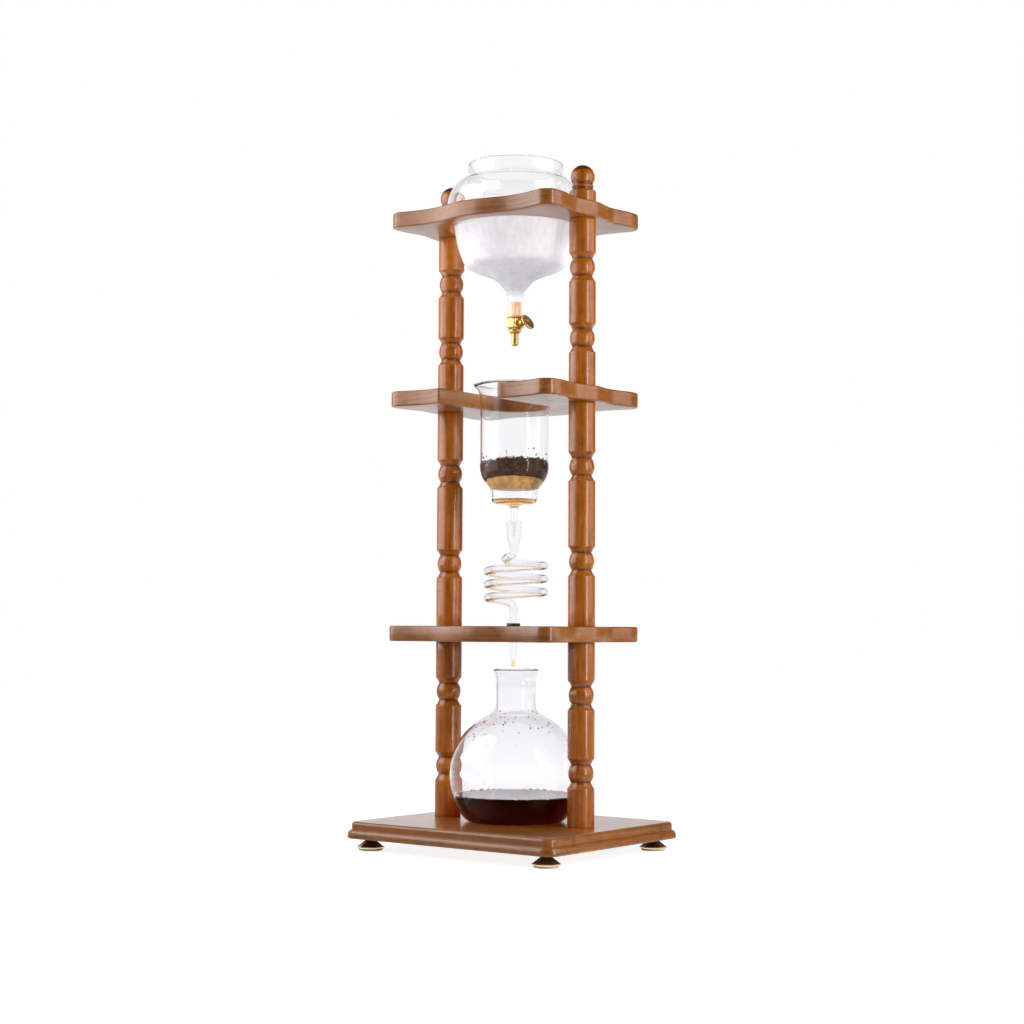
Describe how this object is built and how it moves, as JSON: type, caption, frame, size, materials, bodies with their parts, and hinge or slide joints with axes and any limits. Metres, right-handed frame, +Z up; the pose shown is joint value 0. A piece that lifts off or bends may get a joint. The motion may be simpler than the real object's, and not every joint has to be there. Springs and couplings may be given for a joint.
{
  "type": "cold drip coffee tower",
  "caption": "Turned wooden stand with wavy shelves that holds a water jar with a drip valve, a coffee chamber, a glass cooling coil and a round flask in line.",
  "frame": {"origin": "on the floor under the middle of the base board, on the upright axis of the glassware", "axes": "+Z up, -Y to the front where the flask is put in and the middle shelf's slot opens, +X to the right"},
  "size_m": [0.3, 0.258, 0.803],
  "materials": {
    "stained_wood": "satin reddish brown stain, fine grain",
    "steel": "zinc plated thread",
    "plain_brass": "plain turned brass",
    "polished_brass": "polished gold coloured brass",
    "bronzed_metal": "dark bronzed with bright edges",
    "glide_plastic": "cream plastic",
    "clear_glass": "clear blown borosilicate glass",
    "water": "iced water behind frosted condensation",
    "peach_silicone": "peach silicone",
    "black_rubber": "black rubber",
    "filter_cloth": "wet tan filter",
    "ground_coffee": "wet ground coffee",
    "brewed_coffee": "black coffee"
  },
  "bodies": {
    "stand": {"base_board": "stained_wood", "foot_inserts": "plain_brass", "lower_spindle_left": "stained_wood", "lower_spindle_right": "stained_wood", "middle_spindle_left": "stained_wood", "middle_spindle_right": "stained_wood", "upper_spindle_left": "stained_wood", "upper_spindle_right": "stained_wood", "finial_left": "stained_wood", "finial_right": "stained_wood", "shelf_lower": "stained_wood", "shelf_middle": "stained_wood", "shelf_top": "stained_wood", "tie_studs": "steel", "base_bolts": "steel", "grommet": "black_rubber"},
    "foot_1": {"foot_cap_1": "bronzed_metal", "foot_pad_1": "glide_plastic", "foot_stud_1": "plain_brass"},
    "foot_2": {"foot_cap_2": "bronzed_metal", "foot_pad_2": "glide_plastic", "foot_stud_2": "plain_brass"},
    "foot_3": {"foot_cap_3": "bronzed_metal", "foot_pad_3": "glide_plastic", "foot_stud_3": "plain_brass"},
    "foot_4": {"foot_cap_4": "bronzed_metal", "foot_pad_4": "glide_plastic", "foot_stud_4": "plain_brass"},
    "jar": {"water_jar": "clear_glass", "iced_water": "water", "jar_stopper": "peach_silicone", "drip_valve": "polished_brass"},
    "key": {"valve_key": "polished_brass"},
    "chamber": {"brew_chamber": "clear_glass", "filter_disc": "filter_cloth", "coffee_bed": "ground_coffee"},
    "coil": {"coil_inlet": "clear_glass", "glass_coil": "clear_glass"},
    "server": {"flask": "clear_glass", "brewed_coffee": "brewed_coffee"}
  },
  "joints": [
    {"name": "foot_1_level", "type": "slide", "parent": "stand", "child": "foot_1", "axis": [0, 0, -1], "range_m": [0, 0.008]},
    {"name": "foot_2_level", "type": "slide", "parent": "stand", "child": "foot_2", "axis": [0, 0, -1], "range_m": [0, 0.008]},
    {"name": "foot_3_level", "type": "slide", "parent": "stand", "child": "foot_3", "axis": [0, 0, -1], "range_m": [0, 0.008]},
    {"name": "foot_4_level", "type": "slide", "parent": "stand", "child": "foot_4", "axis": [0, 0, -1], "range_m": [0, 0.008]},
    {"name": "jar_lift", "type": "slide", "parent": "stand", "child": "jar", "axis": [0, 0, 1], "range_m": [0, 0.2]},
    {"name": "key_turn", "type": "hinge", "parent": "jar", "child": "key", "pos_m": [0, 0, 0.61525], "axis": [1, 0, 0], "range_deg": [0, 90]},
    {"name": "chamber_lift", "type": "slide", "parent": "stand", "child": "chamber", "axis": [0, 0, 1], "range_m": [0, 0.035]},
    {"name": "coil_lift", "type": "slide", "parent": "stand", "child": "coil", "axis": [0, 0, 1], "range_m": [0, 0.012]},
    {"name": "flask_slide", "type": "slide", "parent": "stand", "child": "server", "axis": [0, -1, 0], "range_m": [0, 0.3]}
  ]
}
